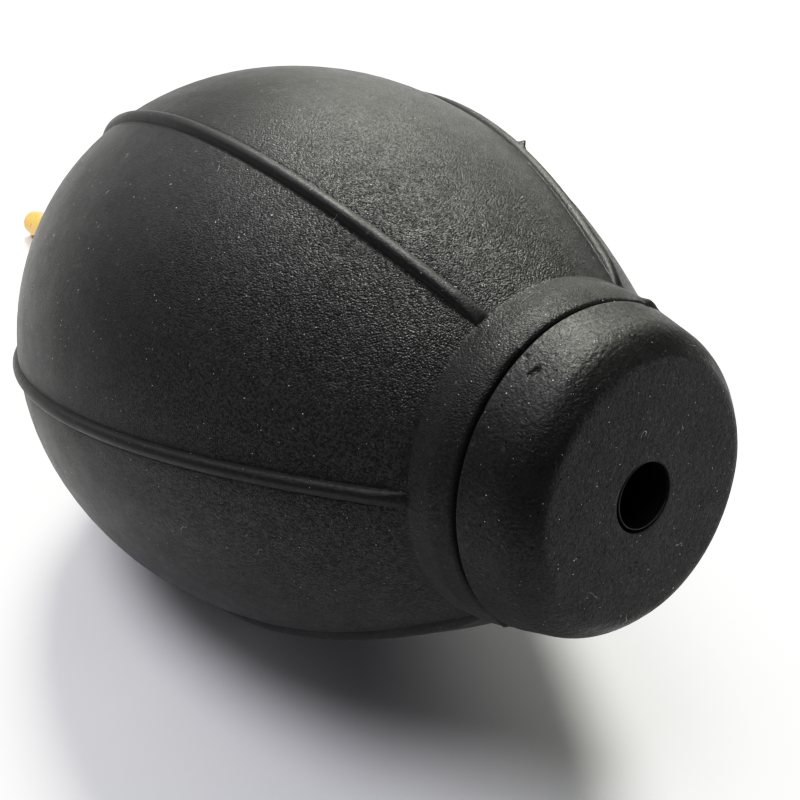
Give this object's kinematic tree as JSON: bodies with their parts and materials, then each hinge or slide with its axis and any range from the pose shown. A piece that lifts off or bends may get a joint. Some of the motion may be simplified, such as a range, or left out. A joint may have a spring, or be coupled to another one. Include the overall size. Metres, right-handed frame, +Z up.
{
  "type": "dust blower bulb",
  "caption": "Squeezable ribbed rubber bulb that puffs air from a thin nozzle and draws it back in through a ball valve in its flat end plug.",
  "frame": {"origin": "on the bench the bulb lies on, under the middle of its bounding box", "axes": "+Z up from the bench, +X level and from the nozzle towards the raised end plug, +Y across the bulb. The bulb's own axis leans up by 20.4 degrees towards +X, because its belly and its nozzle's tip both touch the bench"},
  "size_m": [0.0998, 0.0466, 0.0477],
  "materials": {
    "shell_rubber": "fine moulded grain, matte with a soft sheen",
    "plug_rubber": "satin side, lightly pitted matte face",
    "seat_rubber": "smooth soft rubber",
    "dark_plastic": "satin",
    "bearing_steel": "polished",
    "amber_plastic": "satin, slightly translucent"
  },
  "bodies": {
    "bulb": {"bulb_shell": "shell_rubber", "nozzle": "amber_plastic"},
    "base": {"end_plug": "plug_rubber", "valve_sleeve": "dark_plastic", "valve_seat": "seat_rubber", "valve_cage": "dark_plastic"},
    "ball": {"valve_ball": "bearing_steel"}
  },
  "joints": [
    {"name": "squeeze", "type": "slide", "parent": "bulb", "child": "base", "axis": [-0.9374, 0, -0.3484], "range_m": [0, 0.012], "stiffness_N_per_m": 1500, "deforming": ["bulb_shell"]},
    {"name": "inlet_valve", "type": "slide", "parent": "base", "child": "ball", "axis": [0.9374, 0, 0.3484], "range_m": [0, 0.0021]}
  ]
}
